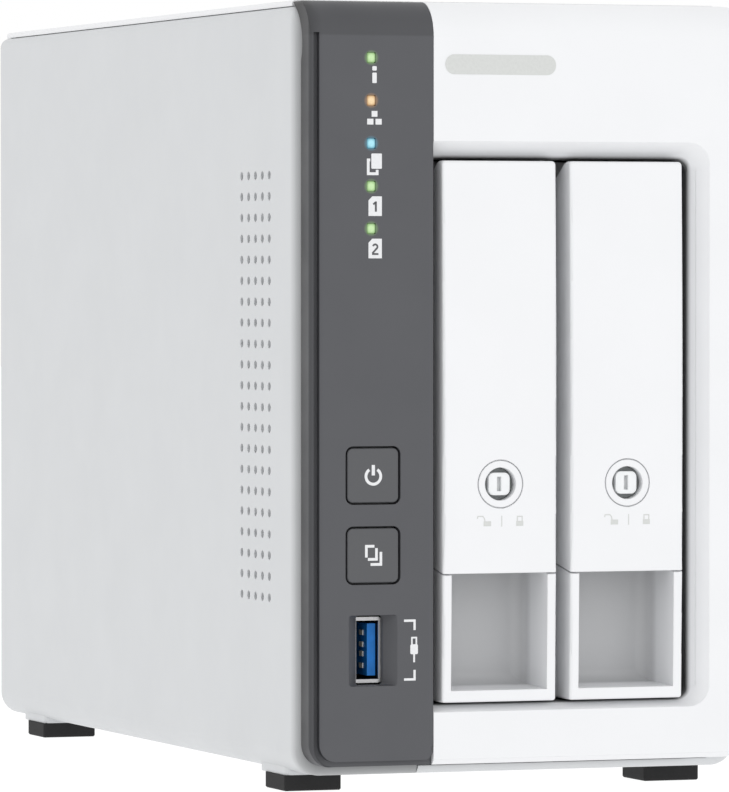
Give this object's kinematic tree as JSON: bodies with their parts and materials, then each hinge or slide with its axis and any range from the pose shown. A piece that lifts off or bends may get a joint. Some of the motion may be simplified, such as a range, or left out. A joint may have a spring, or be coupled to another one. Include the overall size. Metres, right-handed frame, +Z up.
{
  "type": "network attached storage",
  "caption": "Upright box for hard drives in lockable slide-out trays, with a dark control strip, status lights, push buttons, sockets and a rear fan.",
  "frame": {"origin": "on the surface under the feet, below the middle of the object's box", "axes": "+Z up, -Y towards the user at the front with the trays, +X to the user's right"},
  "size_m": [0.1, 0.222, 0.1679],
  "materials": {
    "side_grey": "fine satin moulded",
    "top_white": "fine satin moulded",
    "front_white": "fine satin moulded",
    "strip_dark": "fine satin moulded",
    "rear_metal": "powder coated sheet",
    "screw_steel": "zinc plated",
    "foot_rubber": "matte",
    "cage_steel": "galvanised sheet",
    "circuit_board": "solder mask",
    "standoff_brass": "turned",
    "heat_sink_metal": "extruded",
    "chip_black": "moulded",
    "cell_steel": "stamped",
    "socket_plastic": "moulded",
    "light_window": "clear",
    "port_steel": "tin plated",
    "tongue_blue": "moulded",
    "contact_gold": "gold plated",
    "fan_plastic": "moulded",
    "bearing_brass": "sintered",
    "shaft_steel": "ground",
    "tray_plastic": "moulded",
    "lock_metal": "satin plated",
    "drive_casting": "cast",
    "drive_lid": "stamped"
  },
  "bodies": {
    "casing": {"left_side_cover": "side_grey", "main_shell": "side_grey", "top_cover": "top_white", "control_panel": "strip_dark", "front_frame": "front_white", "rear_panel": "rear_metal", "case_screws": "screw_steel", "feet": "foot_rubber", "cage_walls": "cage_steel", "cage_decks": "cage_steel", "cage_brackets": "cage_steel", "main_board": "circuit_board", "board_standoffs": "standoff_brass", "board_screws": "screw_steel", "heat_sink": "heat_sink_metal", "board_components": "chip_black", "coin_cell": "cell_steel", "cell_holder": "socket_plastic", "backplane_board": "circuit_board", "backplane_slot": "socket_plastic", "drive_sockets": "socket_plastic", "front_board": "circuit_board", "board_link": "socket_plastic", "push_switches": "socket_plastic", "light_windows": "light_window", "front_usb_shell": "port_steel", "front_usb_tongue": "tongue_blue", "front_usb_contacts": "contact_gold", "rear_usb_shells": "port_steel", "rear_usb_tongues": "tongue_blue", "lan_sockets": "port_steel", "lan_contacts": "contact_gold", "power_jack": "socket_plastic", "jack_pin": "port_steel", "fan_frame": "fan_plastic", "fan_bearing": "bearing_brass", "fan_screws": "screw_steel"},
    "tray_1": {"tray_1_front": "front_white", "tray_1_rails": "tray_plastic", "tray_1_hinge_pin": "shaft_steel", "hard_drive_1": "drive_casting", "drive_lid_1": "drive_lid", "drive_board_1": "circuit_board", "drive_screws_1": "screw_steel"},
    "door_1": {"tray_1_door": "front_white"},
    "lock_1": {"tray_1_lock": "lock_metal"},
    "tray_2": {"tray_2_front": "front_white", "tray_2_rails": "tray_plastic", "tray_2_hinge_pin": "shaft_steel", "hard_drive_2": "drive_casting", "drive_lid_2": "drive_lid", "drive_board_2": "circuit_board", "drive_screws_2": "screw_steel"},
    "door_2": {"tray_2_door": "front_white"},
    "lock_2": {"tray_2_lock": "lock_metal"},
    "power_button": {"power_button": "strip_dark"},
    "copy_button": {"copy_button": "strip_dark"},
    "reset_button": {"reset_button": "socket_plastic"},
    "fan_rotor": {"fan_rotor": "fan_plastic", "fan_shaft": "shaft_steel"}
  },
  "joints": [
    {"name": "tray_1_slide", "type": "slide", "parent": "casing", "child": "tray_1", "axis": [0, -1, 0], "range_m": [0, 0.15]},
    {"name": "door_1_swing", "type": "hinge", "parent": "tray_1", "child": "door_1", "pos_m": [-0.00695, -0.1069, 0.116], "axis": [-1, 0, 0], "range_deg": [0, 28]},
    {"name": "lock_1_turn", "type": "hinge", "parent": "door_1", "child": "lock_1", "pos_m": [-0.00695, -0.1103, 0.0655], "axis": [0, 1, 0], "range_deg": [0, 90]},
    {"name": "tray_2_slide", "type": "slide", "parent": "casing", "child": "tray_2", "axis": [0, -1, 0], "range_m": [0, 0.15]},
    {"name": "door_2_swing", "type": "hinge", "parent": "tray_2", "child": "door_2", "pos_m": [0.02205, -0.1069, 0.116], "axis": [-1, 0, 0], "range_deg": [0, 28]},
    {"name": "lock_2_turn", "type": "hinge", "parent": "door_2", "child": "lock_2", "pos_m": [0.02205, -0.1103, 0.0655], "axis": [0, 1, 0], "range_deg": [0, 90]},
    {"name": "power_button_press", "type": "slide", "parent": "casing", "child": "power_button", "axis": [0, 1, 0], "range_m": [0, 0.0008], "stiffness_N_per_m": 900},
    {"name": "copy_button_press", "type": "slide", "parent": "casing", "child": "copy_button", "axis": [0, 1, 0], "range_m": [0, 0.0008], "stiffness_N_per_m": 900},
    {"name": "reset_button_press", "type": "slide", "parent": "casing", "child": "reset_button", "axis": [0, -1, 0], "range_m": [0, 0.001], "stiffness_N_per_m": 600},
    {"name": "fan_spin", "type": "hinge", "parent": "casing", "child": "fan_rotor", "pos_m": [0.011, 0.1, 0.096], "axis": [0, 1, 0], "continuous": true}
  ]
}
